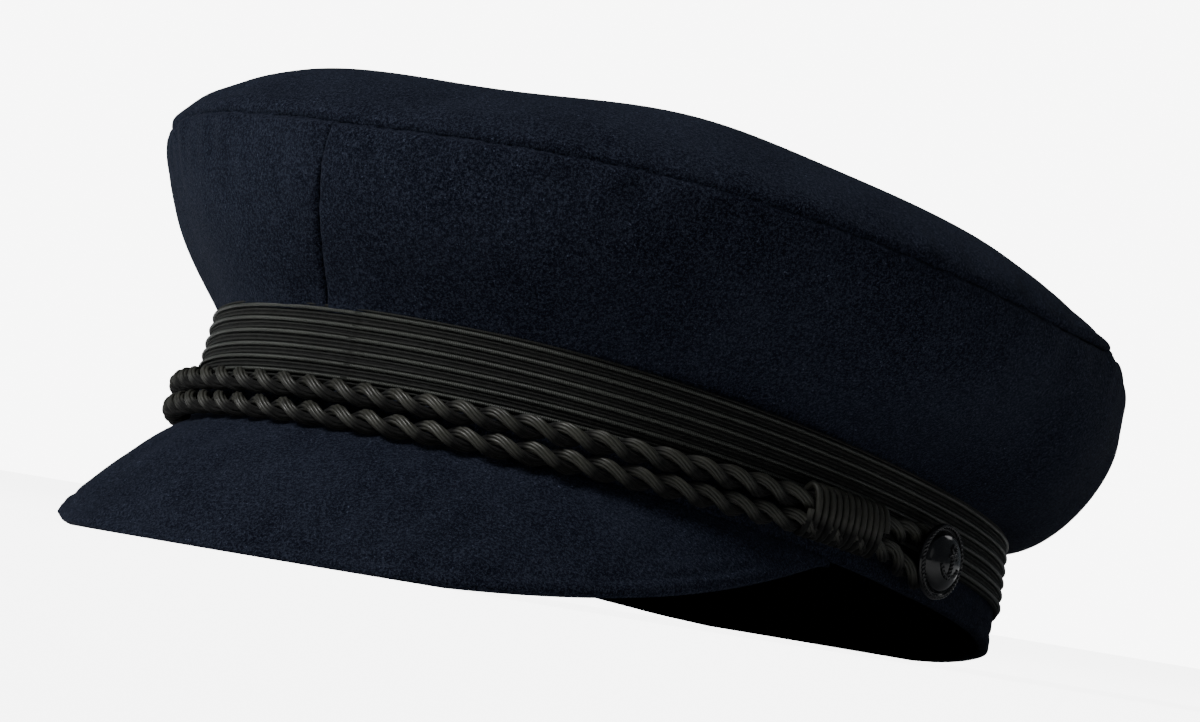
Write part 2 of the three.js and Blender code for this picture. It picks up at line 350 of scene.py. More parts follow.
def wool_material(name, dark, light, sheen):
    """Napped wool cloth: matted fibres, fine speckle and a faint cloudiness."""
    material, nodes = new_material(name)
    where = nodes.node("ShaderNodeTexCoord").other("Object")
    fibres = noise(nodes, where, 3600.0, 2.0, 0.7)
    tufts = noise(nodes, where, 1700.0, 2.0, 0.65)
    clouds = noise(nodes, where, 45.0, 3.0, 0.6)
    speckle = ramp(nodes, fibres * 0.5 + tufts * 0.5, (0.45, 0.0), (0.64, 1.0))
    cloudy = ramp(nodes, clouds, (0.35, 0.0), (0.7, 1.0))
    mask = speckle * 0.85 + cloudy * 0.15
    cloth = blend_colour(nodes, mask, (*dark, 1.0), (*light, 1.0))
    lint = ramp(nodes, noise(nodes, where, 1500.0, 2.0, 0.6), (0.68, 0.0), (0.76, 1.0))
    pale = tuple(3.2 * part for part in light)
    colour = blend_colour(nodes, lint * 0.6, cloth, (*pale, 1.0))
    nap = bump(nodes, tufts, 0.0007, 0.7)
    fuzz = bump(nodes, fibres, 0.0004, 0.8, nap)
    return finish_material(material, nodes, {
        "Base Color": colour, "Roughness": 0.95, "Normal": fuzz,
        "Specular IOR Level": 0.06, "Sheen Weight": sheen, "Sheen Roughness": 0.5,
        "Sheen Tint": (0.45, 0.6, 1.0, 1.0),
    })


def thread_material(name, colour, gloss, weave, pitch=0.00045):
    """Satin thread: fine cross threads along each strand and a broken painted highlight, pale colour painted where a
    strand faces out and up and plain black where it turns in.
    """
    material, nodes = new_material(name)
    where = nodes.node("ShaderNodeTexCoord").other("Object")
    along = nodes.node("ShaderNodeAttribute", {"attribute_name": "along"}).other("Fac")
    threads = (along * (2.0 * math.pi / pitch)).sin() * weave + 0.5
    uneven = noise(nodes, where, 700.0, 3.0, 0.6)
    patches = noise(nodes, where, 60.0, 2.0, 0.5)
    mask = ramp(nodes, threads * 0.4 + uneven * 0.35 + patches * 0.35, (0.3, 0.0), (0.75, 1.0))
    # Painted highlight colour: 44 times the thread's own black, laid on through the noise mask.
    pale = tuple(44.0 * part for part in colour)
    # Painted light: the front attribute says how far each point faces out and up, and the ramp turns it into where
    # the painted highlight goes; faces turned in keep the plain black.
    front = nodes.node("ShaderNodeAttribute", {"attribute_name": "front"}).other("Fac")
    shown = ramp(nodes, front * 0.5 + 0.5, (0.5, 0.0), (0.97, 1.0))
    # Base colour with the painted highlight mixed in.
    shade = blend_colour(nodes, mask * shown, (*colour, 1.0), (*pale, 1.0))
    gleam = ramp(nodes, uneven, (0.3, gloss), (0.7, gloss + 0.2))
    dull = gleam + (1.0 - shown) * 0.5
    relief = bump(nodes, threads * 0.7 + uneven * 0.6, 0.00016, 0.7)
    return finish_material(material, nodes, {
        "Base Color": shade, "Roughness": dull,
        "Normal": relief, "Specular IOR Level": 0.3,
        "Sheen Weight": 0.01, "Sheen Roughness": 0.4, "Sheen Tint": (0.9, 0.95, 0.9, 1.0),
    })


def button_material():
    """Glossy black plastic with faint handling marks."""
    material, nodes = new_material("button_black")
    where = nodes.node("ShaderNodeTexCoord").other("Object")
    marks = noise(nodes, where, 500.0, 4.0, 0.7)
    haze = noise(nodes, where, 120.0, 2.0, 0.5)
    colour = blend_colour(nodes, haze, (0.004, 0.004, 0.005, 1.0), (0.010, 0.010, 0.011, 1.0))
    return finish_material(material, nodes, {
        "Base Color": colour, "Roughness": ramp(nodes, marks, (0.4, 0.10), (0.75, 0.28)),
        "Normal": bump(nodes, marks, 0.00003, 0.4), "Specular IOR Level": 0.3,
        "Coat Weight": 0.25, "Coat Roughness": 0.06,
    })


# ---------- geometry node groups ----------

def new_group(name, sockets):
    tree = bpy.data.node_groups.new(name, "GeometryNodeTree")
    tree.interface.new_socket("Geometry", in_out="INPUT", socket_type="NodeSocketGeometry")
    for label, kind in sockets:
        tree.interface.new_socket(label, in_out="INPUT", socket_type=f"NodeSocket{kind}")
    tree.interface.new_socket("Geometry", in_out="OUTPUT", socket_type="NodeSocketGeometry")
    nodes = Nodes(tree)
    return tree, nodes, nodes.node("NodeGroupInput")


def store(nodes, geometry, name, value):
    settings = {"data_type": "FLOAT", "domain": "POINT"}
    return nodes.node("GeometryNodeStoreNamedAttribute", settings,
                      {"Geometry": geometry, "Name": name, "Value": value})


def finish_group(nodes, geometry, material):
    whole = nodes.node("GeometryNodeRealizeInstances", {}, {"Geometry": geometry})
    painted = nodes.node("GeometryNodeSetMaterial", {}, {"Geometry": whole, "Material": material})
    nodes.node("NodeGroupOutput", {}, {"Geometry": painted})


def twist_round(nodes, curve, copies, pitch, out, up, front=None):
    """Copies of a curve wound round it: copies strands, on an oval orbit."""
    strands = nodes.node("GeometryNodeDuplicateElements", {"domain": "SPLINE"},
                         {"Geometry": curve, "Amount": copies})
    phase = strands.other("Duplicate Index") * (2.0 * math.pi) / copies
    length = nodes.node("GeometryNodeSplineParameter").other("Length")
    turn = length * (2.0 * math.pi) / pitch + phase
    normal = nodes.node("GeometryNodeInputNormal")
    tangent = nodes.node("GeometryNodeInputTangent")
    side = nodes.node("ShaderNodeVectorMath", {"operation": "CROSS_PRODUCT"}, {0: tangent, 1: normal})
    scaled = [
        nodes.node("ShaderNodeVectorMath", {"operation": "SCALE"}, {0: axis, "Scale": amount})
        for axis, amount in ((normal, turn.cos() * out), (side, turn.sin() * up))
    ]
    offset = nodes.node("ShaderNodeVectorMath", {"operation": "ADD"}, {0: scaled[0], 1: scaled[1]})
    # For painted light: store as the front attribute how far each strand point faces out and up, times the given
    # gain; the thread material paints a pale highlight there.
    if front:
        away = nodes.node("GeometryNodeInputPosition")
        away = nodes.node("ShaderNodeVectorMath", {"operation": "NORMALIZE"}, {0: away})
        raised = {0: away, 1: (0.0, 0.0, 0.5)}
        away = nodes.node("ShaderNodeVectorMath", {"operation": "ADD"}, raised)
        painted_light_facing = nodes.node("ShaderNodeVectorMath", {"operation": "DOT_PRODUCT"}, {0: offset, 1: away})
        strands = store(nodes, strands, "front", painted_light_facing * front / out)
    return nodes.node("GeometryNodeSetPosition", {}, {"Geometry": strands, "Offset": offset})


def twisted_group():
    """Strands wound round a path, each made of threads wound round the strand."""
    tree, nodes, given = new_group("Twisted Strands", [
        ("Strands", "Int"), ("Pitch", "Float"), ("Painted Light Gain", "Float"), ("Orbit Out", "Float"), ("Orbit Up", "Float"),
        ("Threads", "Int"), ("Thread Pitch", "Float"), ("Thread Orbit", "Float"),
        ("Thread Radius", "Float"), ("Step", "Float"), ("Material", "Material"),
    ])
    curve = nodes.node("GeometryNodeMeshToCurve", {}, {"Mesh": given.other("Geometry")})
    level = nodes.node("GeometryNodeSetCurveNormal", {"mode": "Z_UP"}, {"Curve": curve})
    dense = nodes.node("GeometryNodeResampleCurve", {"mode": "LENGTH"},
                       {"Curve": level, "Length": given.other("Step")})
    strands = twist_round(nodes, dense, given.other("Strands"), given.other("Pitch"),
                          given.other("Orbit Out"), given.other("Orbit Up"), given.other("Painted Light Gain"))
    free = nodes.node("GeometryNodeSetCurveNormal", {"mode": "MINIMUM_TWIST"}, {"Curve": strands})
    orbit = given.other("Thread Orbit")
    threads = twist_round(nodes, free, given.other("Threads"), given.other("Thread Pitch"),
                          orbit, orbit)
    length = nodes.node("GeometryNodeSplineParameter").other("Length")
    marked = store(nodes, threads, "along", length)
    profile = nodes.node("GeometryNodeCurvePrimitiveCircle", {"mode": "RADIUS"},
                         {"Resolution": 6, "Radius": given.other("Thread Radius")})
    tube = nodes.node("GeometryNodeCurveToMesh", {},
                      {"Curve": marked, "Profile Curve": profile, "Fill Caps": True})
    smooth = nodes.node("GeometryNodeSetShadeSmooth", {}, {"Geometry": tube})
    finish_group(nodes, smooth, given.other("Material"))
    return tree


def rib_group():
    """Ribs along the edges of a mesh, as thick as its points' rib attribute says."""
    tree, nodes, given = new_group("Ribbon Ribs", [("Thickness", "Float"), ("Material", "Material")])
    curve = nodes.node("GeometryNodeMeshToCurve", {}, {"Mesh": given.other("Geometry")})
    size = nodes.node("GeometryNodeInputNamedAttribute", {"data_type": "FLOAT"}, {"Name": "rib"})
    thick = nodes.node("GeometryNodeSetCurveRadius", {}, {"Curve": curve, "Radius": size})
    length = nodes.node("GeometryNodeSplineParameter").other("Length")
    marked = store(nodes, thick, "along", length)
    # Painted light: bold, proud ribs get a front of 1 and the full painted highlight; fine ribs get less and read
    # darker, as painted shade between the bold ones.
    marked = store(nodes, marked, "front", size * 1.9 - 0.9)
    profile = nodes.node("GeometryNodeCurvePrimitiveCircle", {"mode": "RADIUS"},
                         {"Resolution": 8, "Radius": given.other("Thickness")})
    inputs = {"Curve": marked, "Profile Curve": profile}
    tube = nodes.node("GeometryNodeCurveToMesh", {}, inputs)
    if "Scale" in tube.socket.node.inputs:
        nodes.tree.links.new(size.socket, tube.socket.node.inputs["Scale"])
    smooth = nodes.node("GeometryNodeSetShadeSmooth", {}, {"Geometry": tube})
    finish_group(nodes, smooth, given.other("Material"))
    return tree


def grow(name, base, tree, values):
    """Runs a node group on a base object and keeps the result as a plain mesh object."""
    modifier = base.modifiers.new("grow", "NODES")
    modifier.node_group = tree
    for item in tree.interface.items_tree:
        if item.in_out == "INPUT" and item.name in values:
            modifier[item.identifier] = values[item.name]
    bpy.context.view_layer.update()
    graph = bpy.context.evaluated_depsgraph_get()
    mesh = bpy.data.meshes.new_from_object(base.evaluated_get(graph))
    mesh.name = name
    made = bpy.data.objects.new(name, mesh)
    bpy.context.scene.collection.objects.link(made)
    base.modifiers.remove(modifier)
    bpy.data.objects.remove(base)
    return made


def path_object(paths, closed=False, widths=None):
    """Edges along each path of points, with an optional rib width for each path."""
    points = np.concatenate(paths)
    edges = []
    start = 0
    for path in paths:
        count = len(path)
        edges += [(start + i, start + i + 1) for i in range(count - 1)]
        if closed:
            edges.append((start + count - 1, start))
        start += count
    mesh = bpy.data.meshes.new("path")
    mesh.from_pydata(points.tolist(), edges, [])
    if widths is not None:
        values = np.concatenate([np.full(len(path), width) for path, width in zip(paths, widths)])
        mesh.attributes.new("rib", "FLOAT", "POINT").data.foreach_set("value", values)
    made = bpy.data.objects.new("path", mesh)
    bpy.context.scene.collection.objects.link(made)
    return made


# ---------- the cloth crown ----------

GROOVE = {"depth": 1.05, "width": 0.8, "side_depth": 0.75, "side_width": 0.5, "lean": 2.0}
PUCKER = {"height": 0.35, "reach": 8.0, "length": 11.0}


def groove(distance, along, depth, width):
    """How far the cloth is drawn in beside a seam."""
    deep = depth * (1.0 + 0.25 * np.sin(along * 0.9) * np.sin(along * 0.37 + 1.0))
    return deep * np.exp(-(distance / width) ** 2)


def pucker(points, distance, seed):
    fade = np.exp(-distance / PUCKER["reach"]) * (1.0 - np.exp(-distance / 1.5))
    return PUCKER["height"] * fade * waves(points, PUCKER["length"], seed)


def top_seam(angle, inset=0.0):
    x, y = oval(TOP_SEAM, angle, -inset)
    return np.stack([x, y, section(angle, "seam") - 0.4 * inset], -1)


def crown_wall_level(angle, t):
    """The side wall: it leaves the band behind the ribbon, bellies out and meets the top."""
    foot = on_band(angle, 23.0, -0.2)
    rise = on_band(angle, 27.5, 0.8)
    seam = top_seam(angle)
    out = outward(angle)
    lower = on_band(angle, 26.2, 0.6) + out * (1.25 * section(angle, "foot_out"))[..., None]
    lower = lower + lift(1.25 * section(angle, "foot_up"))
    upper = seam + out * (1.15 * section(angle, "belly_out"))[..., None]
    upper = upper - lift(1.15 * section(angle, "belly_down"))
    s = 1.0 - t
    weights = (s ** 4, 4 * s ** 3 * t, 6 * s ** 2 * t ** 2, 4 * s * t ** 3, t ** 4)
    return sum(w[..., None] * p for w, p in zip(weights, (foot, rise, lower, upper, seam)))


def crowded(count, near, power=1.8):
    """Places from 0 to 1 that crowd towards 1, or a little towards both ends."""
    u = np.linspace(0.0, 1.0, count)
    if near == "end":
        return 1.0 - (1.0 - u) ** power
    pull = 0.35
    return (1.0 - pull) * u + pull * (0.5 - 0.5 * np.cos(np.pi * u))


def crown_wall(name, from_angle, to_angle, seed, material):
    columns, rows = 420, 80
    u = crowded(columns, "both")
    angle, t = np.meshgrid(from_angle + (to_angle - from_angle) * u, crowded(rows, "end", 1.7))
    angle = angle - GROOVE["lean"] * (1.0 - t) * np.cos(np.radians(0.5 * (angle - FRONT_SEAM))) ** 2
    outer = crown_wall_level(angle, t)
    normal = normals(outer)
    steps = np.linalg.norm(np.diff(outer, axis=0), axis=-1)
    up_left = np.concatenate([np.cumsum(steps[::-1], axis=0)[::-1], np.zeros((1, columns))])
    round_steps = np.linalg.norm(np.diff(outer, axis=1), axis=-1)
    zero = np.zeros((rows, 1))
    from_start = np.concatenate([zero, np.cumsum(round_steps, axis=1)], axis=1)
    from_end = np.concatenate([np.cumsum(round_steps[:, ::-1], axis=1)[:, ::-1], zero], axis=1)
    to_side_seam = np.minimum(from_start, from_end)
    top_groove = groove(up_left, from_start, GROOVE["depth"], GROOVE["width"])
    side_groove = groove(to_side_seam, up_left, GROOVE["side_depth"], GROOVE["side_width"])
    drawn = np.maximum(top_groove, side_groove)
    soft = 0.9 * waves(outer, 62.0, 5) * ease(up_left / 25.0) * ease((1.0 - up_left / 60.0) * 3.0)
    moved = soft + pucker(outer, up_left, seed) + pucker(outer, to_side_seam, seed + 1)
    outer = outer + normal * (moved - drawn)[..., None]
    inner = outer - normals(outer) * CLOTH * ease(up_left / 3.0 + 0.25)[..., None]
    return shell(name, settle(outer), settle(inner), False, material)


def top_level(angle, spread, inset=0.0):
    edge = top_seam(angle, inset)
    centre = np.array([0.0, TOP_SEAM["centre"], TOP["middle"] - 0.4 * inset])
    point = centre + (edge - centre) * spread[..., None]
    grown = TOP["rise"] + (section(angle, "dome") - TOP["rise"]) * spread ** 2
    base = centre[2] + (edge[..., 2] - centre[2]) * spread ** 2
    rise = (grown - 0.6 * inset) * np.maximum(1.0 - spread ** TOP["flatness"], 0.0) ** TOP["edge"]
    point[..., 2] = base + rise
    return point


def crown_top(material):
    columns, rows = 480, 96
    v = np.linspace(0.0, 1.0, rows)
    spread = 1.0 - v ** 1.6 * 0.996
    angle, spread = np.meshgrid(np.linspace(0.0, 360.0, columns, endpoint=False), spread)
    outer = top_level(angle, spread)
    normal = normals(np.concatenate([outer[:, -1:], outer, outer[:, :1]], axis=1))[:, 1:-1]
    steps = np.linalg.norm(np.diff(outer, axis=0), axis=-1)
    from_seam = np.concatenate([np.zeros((1, columns)), np.cumsum(steps, axis=0)])
    along = np.radians(angle) * 100.0
    moved = 0.7 * waves(outer, 80.0, 8) * ease(from_seam / 30.0)
    moved += pucker(outer, from_seam, 21)
    outer = outer + normal * (moved - groove(from_seam, along, GROOVE["depth"], GROOVE["width"]))[..., None]
    inner = outer - normal * CLOTH * ease(from_seam / 3.0 + 0.25)[..., None]
    outer, inner = settle(outer), settle(inner)
    size = rows * columns
    tip_out = outer[-1].mean(axis=0)
    tip_in = inner[-1].mean(axis=0)
    points = np.concatenate([outer.reshape(-1, 3), inner.reshape(-1, 3), [tip_out, tip_in]])
    faces = grid_faces(rows, columns, True) + grid_faces(rows, columns, True, size, flip=True)
    last = (rows - 1) * columns
    for column in range(columns):
        after = (column + 1) % columns
        faces.append([last + column, last + after, 2 * size])
        faces.append([size + last + after, size + last + column, 2 * size + 1])
        faces.append([size + column, size + after, after, column])
    return mesh_object("crown_top_cloth", points, faces, material=material)


# ---------- band, ribbon and peak ----------

def head_band(material):
    """Wool turned round the rim: a closed ring with a soft lower edge."""
    columns = 480
    half = BAND["thickness"] / 2.0
    turns = np.linspace(0.0, math.pi, 10)
    heights = [BAND["height"] - 0.5 - 0.45 * i for i in range(50)]
    section_points = [(-0.4 * math.exp(-((z - EDGE_SEAM) / 0.6) ** 2), z) for z in heights]
    section_points += [(-half + half * math.cos(a), half * 0.9 * (1.0 - math.sin(a))) for a in turns]
    section_points += [(-2.0 * half, 2.0 + 1.4 * i) for i in range(17)]
    stand_off = np.array([p[0] for p in section_points])[:, None]
    height = np.array([p[1] for p in section_points])[:, None]
    angle = np.linspace(0.0, 360.0, columns, endpoint=False)[None, :]
    ring = on_band(angle, height + 0.0 * angle, stand_off)
    ring = ring + outward(angle + 0.0 * height) * (0.12 * waves(ring, 16.0, 31))[..., None]
    rows = len(section_points)
    faces = grid_faces(rows, columns, True)
    last = (rows - 1) * columns
    for column in range(columns):
        after = (column + 1) % columns
        faces.append([last + column, last + after, after, column])
    faces = [face[::-1] for face in faces]
    return mesh_object("head_band_wool", settle(ring), faces, material=material)


def ribbon_strip(material):
    columns, rows = 480, 18
    height = np.linspace(RIBBON["bottom"], RIBBON["top"] - RIBS["selvedge"], rows)[:, None]
    angle = np.linspace(0.0, 360.0, columns, endpoint=False)[None, :]
    outer = on_band(angle, height + 0.0 * angle, 0.3 + RIBBON["skin"])
    inner = on_band(angle, height + 0.0 * angle, 0.3)
    return shell("ribbon_strip", settle(outer), settle(inner), True, material)


def ribbon_ribs(tree, material):
    """A bold rib and two fine ones, over and over from selvedge to selvedge."""
    angle = np.linspace(0.0, 360.0, 420, endpoint=False)
    paths, widths = [], []
    for rib in range(RIBS["count"]):
        bold = rib % 3 == 1
        height = RIBBON["top"] - RIBS["selvedge"] - RIBS["pitch"] * rib
        height = height + 0.04 * waves(on_band(angle, height), 40.0, 60 + rib)
        stand_off = 0.3 + RIBBON["skin"] + (RIBS["proud"] if bold else 0.0)
        paths.append(settle(on_band(angle, height, stand_off)))
        widths.append(1.0 if bold else RIBS["fine"])
    base = path_object(paths, closed=True, widths=widths)
    return grow("ribbon_ribs", base, tree, {"Thickness": RIBS["radius"] * MM, "Material": material})


def peak_level(across, out, under):
    """Upper or lower face of the peak, from the band to its edge."""
    angle = PEAK["reach"] * across
    away = outward(angle)
    point = on_band(angle, 0.0 * across, 0.3)
    length = PEAK["length"] * out * (1.0 - across ** 2) ** PEAK["taper"]
    slope = np.radians(PEAK["droop"] + PEAK["side_droop"] * np.abs(across) ** 1.5)
    depth = under * PEAK["thickness"] * (0.4 + 0.6 * np.sqrt(1.0 - across ** 2))
    plan = length * np.cos(slope) - depth * np.sin(slope) * out
    point = point + away * plan[..., None]
    plumb = 1.0 / np.cos(slope) * (1.0 - out) + np.cos(slope) * out
    point[..., 2] = PEAK["joint"] - length * np.sin(slope) - depth * plumb
    point[..., 2] += PEAK["arch"] * 4.0 * out * (1.0 - out) * (1.0 - across ** 2)
    return point


def peak(material):
    """Cloth drawn over a stiff board: round at the edge, flat beneath."""
    columns, rows = 320, 62
    across = np.linspace(-0.985, 0.985, columns)
    out = np.linspace(0.0, 1.0, rows)
    across_grid, out_grid = np.meshgrid(across, out)
    upper = peak_level(across_grid, out_grid, 0.0)
    lower = peak_level(across_grid, out_grid, 1.0)
    edge_in = np.linalg.norm(upper - upper[-1:], axis=-1)
    roll = ease(1.0 - edge_in / 2.6) ** 2 * 0.5
    middle = 0.5 * (upper + lower)
    soft = 0.12 * waves(upper, 13.0, 41)
    soft = soft + 0.45 * np.exp(-((edge_in - 3.4) / 1.3) ** 2) * np.sqrt(1.0 - across_grid ** 2)
    raised = upper + normals(upper) * soft[..., None]
    raised = raised + (middle - raised) * roll[..., None]
    lowered = lower + (middle - lower) * roll[..., None]
    return shell("peak_cloth", settle(raised), settle(lowered), False, material)


# ---------- cord, knots and buttons ----------

def cord_height(angle):
    return CORD["height"] - CORD["dip"] * np.cos(np.radians(angle))


def cord_row(angle, row):
    side = np.abs(angle)
    knotted = plateau(side - KNOT["at"], KNOT["half_arc"] + 1.0, KNOT["half_arc"] + 6.0)
    opened = plateau(side - BUTTON["at"], 1.0, BUTTON["at"] - KNOT["at"] - KNOT["half_arc"] - 2.0)
    half = CORD["spacing"] / 2.0 - KNOT["squeeze"] * knotted + BUTTON["spread"] * opened
    height = cord_height(angle) - BUTTON["drop"] * opened
    stand_off = CORD["stand_off"] + (KNOT["stand_off"] - CORD["stand_off"]) * knotted
    return on_band(angle, height + half * row, stand_off)


def cord_route():
    """The loop: one row out, round a button, the other row back, round the other."""
    row_steps, turn_steps = 400, 24
    side_arc = np.linalg.norm(on_band(89.0, 0.0) - on_band(90.0, 0.0))
    radius = CORD["spacing"] / 2.0 + BUTTON["spread"]
    route = []
    for side in (1, -1):
        route.append(cord_row(side * np.linspace(-BUTTON["at"], BUTTON["at"], row_steps), side))
        turn = np.linspace(0.0, math.pi, turn_steps + 1)[1:-1]
        angle = side * (BUTTON["at"] + radius * np.sin(turn) / side_arc)
        height = cord_height(BUTTON["at"]) - BUTTON["drop"] + side * radius * np.cos(turn)
        route.append(on_band(angle, height, CORD["stand_off"]))
    return settle(np.concatenate(route))


def cord(tree, material):
    base = path_object([cord_route()], closed=True)
    return grow("twisted_cord", base, tree, {
        "Strands": 2, "Pitch": 14.4 * MM, "Painted Light Gain": 1.0, "Orbit Out": 1.3 * MM, "Orbit Up": 1.35 * MM,
        "Threads": 7, "Thread Pitch": 34.0 * MM, "Thread Orbit": 0.82 * MM,
        "Thread Radius": 0.44 * MM, "Step": 0.75 * MM, "Material": material,
    })


def knot(tree, side, material):
    turns = 12
    arc = np.linspace(-1.0, 1.0, 240) * KNOT["wound"]
    angle = side * (KNOT["at"] - KNOT["forward"] + arc)
    route = settle(on_band(angle, cord_height(angle) + 0.7, KNOT["stand_off"] + 0.1))
    length = np.linalg.norm(np.diff(route, axis=0), axis=1).sum()
    name = "wound_knot_left" if side > 0 else "wound_knot_right"
    return grow(name, path_object([route]), tree, {
        "Strands": 1, "Pitch": length / turns, "Orbit Out": 2.6 * MM, "Orbit Up": 5.2 * MM,
        "Threads": 1, "Thread Pitch": 12.0 * MM, "Thread Orbit": 0.0, "Painted Light Gain": 1.2,
        "Thread Radius": 0.78 * MM, "Step": 0.05 * MM, "Material": material,
    })


def button_frame(side):
    """Where a button sits, and the matrix that stands its face outwards."""
    angle = side * BUTTON["at"]
    seat = on_band(angle, cord_height(angle) - BUTTON["drop"])
    out = outward(angle)
    foot = Vector(settle(seat) / MM)
    face = (Vector(settle(seat + 5.0 * out) / MM) - foot).normalized()
    up = Vector(settle(seat + np.array([0.0, 0.0, 5.0])) / MM) - foot
    right = up.cross(face).normalized()
    up = face.cross(right)
    turn = Matrix((right, up, face)).transposed().to_4x4()
    return Matrix.Translation(foot) @ turn


def place(points, matrix):
    rotation = np.array(matrix.to_3x3())
    return (points @ rotation.T + np.array(matrix.translation)) * MM


def lathe(profile, columns):
    turn = np.linspace(0.0, 2.0 * math.pi, columns, endpoint=False)
    radius = np.array([p[0] for p in profile])[:, None]
    height = np.array([p[1] for p in profile])[:, None]
    return np.stack([radius * np.cos(turn), radius * np.sin(turn), height + 0.0 * turn], -1)


def button(side, material):
    radius, back = BUTTON["radius"], BUTTON["back"]
    profile = [(0.01, 1.7), (1.2, 1.7), (1.2, back), (radius - 0.9, back), (radius - 0.3, back + 0.2),
               (radius, back + 0.7), (radius - 0.1, back + 1.2), (radius - 0.5, back + 1.5),
               (radius - 0.9, back + 1.45), (radius - 1.15, back + 1.1), (radius - 1.35, back + 0.95)]
    dome = radius - 1.6
    for step in range(1, 15):
        a = math.radians(90.0 * step / 14.0)
        profile.append((max(dome * math.cos(a) * 1.0, 0.01), back + 1.0 + 2.9 * math.sin(a)))
    columns = 72
    points = lathe(profile, columns)
    rows = len(profile)
    faces = grid_faces(rows, columns, True)
    faces.append(list(range(columns))[::-1])
    faces.append([(rows - 1) * columns + i for i in range(columns)])
    name = "button_dome_left" if side > 0 else "button_dome_right"
    return mesh_object(name, place(points, button_frame(side)), faces, material=material)


def dome_height(x, y):
    dome = BUTTON["radius"] - 1.6
    return BUTTON["back"] + 1.0 + 2.9 * np.sqrt(np.clip(1.0 - (x * x + y * y) / dome ** 2, 0.0, 1.0))


def button_relief(tree, side, material):
    """A plain anchor and a ring of beads raised on the button's face."""
    t = np.linspace(0.0, 1.0, 24)
    arc = np.radians(200.0 + 140.0 * t)
    ring = 2.0 * math.pi * t
    strokes = [
        np.stack([0.0 * t, -3.2 + 5.4 * t], -1),
        np.stack([-1.7 + 3.4 * t, 1.3 + 0.0 * t], -1),
        np.stack([3.4 * np.cos(arc), 0.4 + 3.5 * np.sin(arc)], -1),
        np.stack([0.75 * np.cos(ring), 2.9 + 0.75 * np.sin(ring)], -1),
    ]
    paths = [np.column_stack([s, dome_height(s[:, 0], s[:, 1]) + 0.05]) for s in strokes]
    rim = BUTTON["radius"] - 0.62
    loop = 2.0 * math.pi * np.linspace(0.0, 1.0, 120)
    paths.append(np.stack([rim * np.cos(loop), rim * np.sin(loop), 0.0 * loop + BUTTON["back"] + 1.45], -1))
    matrix = button_frame(side)
    name = "button_relief_left" if side > 0 else "button_relief_right"
    return grow(name, path_object([place(p, matrix) for p in paths]), tree, {
        "Strands": 2, "Pitch": 1.9 * MM, "Orbit Out": 0.17 * MM, "Orbit Up": 0.17 * MM,
        "Threads": 1, "Thread Pitch": 5.0 * MM, "Thread Orbit": 0.0, "Painted Light Gain": 0.0,
        "Thread Radius": 0.3 * MM, "Step": 0.12 * MM, "Material": material,
    })


# ---------- sizes and colours that a user would change ----------

class CapSizes(bpy.types.PropertyGroup):
    reach: FloatProperty(
        name="Camera distance", description="From the camera to the middle of the cap",
        default=1.5808, min=0.5, unit="LENGTH")
    azimuth: FloatProperty(
        name="Camera azimuth", description="How far round the cap the camera stands",
        default=math.radians(34.8), subtype="ANGLE")
    elevation: FloatProperty(
        name="Camera elevation", description="Of the camera above the level cap's rim plane",
        default=math.radians(-8.75), subtype="ANGLE")
    roll: FloatProperty(
        name="Camera roll", description="How far the picture leans",
        default=math.radians(14.37), subtype="ANGLE")
    lens: FloatProperty(name="Lens", description="Focal length in millimetres", default=221.4, min=20.0)


class CapColours(bpy.types.PropertyGroup):
    wool_dark: FloatVectorProperty(
        name="Wool shade", description="Depth of the nap", subtype="COLOR", default=(0.0002, 0.0005, 0.0034))
    wool_light: FloatVectorProperty(
        name="Wool tips", description="Tips of the nap", subtype="COLOR", default=(0.030, 0.036, 0.056))
    ribbon: FloatVectorProperty(
        name="Ribbon", description="Black ribbed ribbon", subtype="COLOR", default=(0.0012, 0.0013, 0.0011))
    cord: FloatVectorProperty(
        name="Cord", description="Black satin cord", subtype="COLOR", default=(0.0010, 0.0010, 0.0008))
    sheen: FloatProperty(name="Wool sheen", description="Strength of the nap's sheen", default=0.03, min=0.0, max=1.0)
    floor: FloatVectorProperty(name="Floor", description="Pale floor", subtype="COLOR", default=(0.9, 0.9, 0.9))


def wool():
    found = bpy.data.materials.get("navy_wool")
    colours = bpy.context.scene.cap_colours
    return found or wool_material("navy_wool", colours.wool_dark, colours.wool_light, colours.sheen)


def thread(name, colour, gloss, weave):
    return bpy.data.materials.get(name) or thread_material(name, colour, gloss, weave)


def strands_tree():
    return bpy.data.node_groups.get("Twisted Strands") or twisted_group()


class CAP_OT_crown(bpy.types.Operator):
    """Build the soft top and the two halves of the side wall"""
    bl_idname = "cap.crown"
    bl_label = "Crown"

    def execute(self, context):
        material = wool()
        finish_piece(crown_top(material), "wool", "crown_top")
        left = crown_wall("crown_wall_left", FRONT_SEAM, BACK_SEAM, 11, material)
        finish_piece(left, "wool", "crown_side_left")
        right = crown_wall("crown_wall_right", BACK_SEAM, 360.0 + FRONT_SEAM, 15, material)
        finish_piece(right, "wool", "crown_side_right")
        return {"FINISHED"}


class CAP_OT_band(bpy.types.Operator):
    """Build the wool band and the ribbed ribbon round it"""
    bl_idname = "cap.band"
    bl_label = "Band and ribbon"

    def execute(self, context):
        finish_piece(head_band(wool()), "wool", "head_band")
        material = thread("ribbon_black", context.scene.cap_colours.ribbon, 0.34, 0.5)
        finish_piece(ribbon_strip(material), "ribbon", "ribbon")
        finish_piece(ribbon_ribs(rib_group(), material), "ribbon")
        return {"FINISHED"}


class CAP_OT_peak(bpy.types.Operator):
    """Build the cloth-covered peak"""
    bl_idname = "cap.peak"
    bl_label = "Peak"

    def execute(self, context):
        finish_piece(peak(wool()), "wool", "peak")
        return {"FINISHED"}


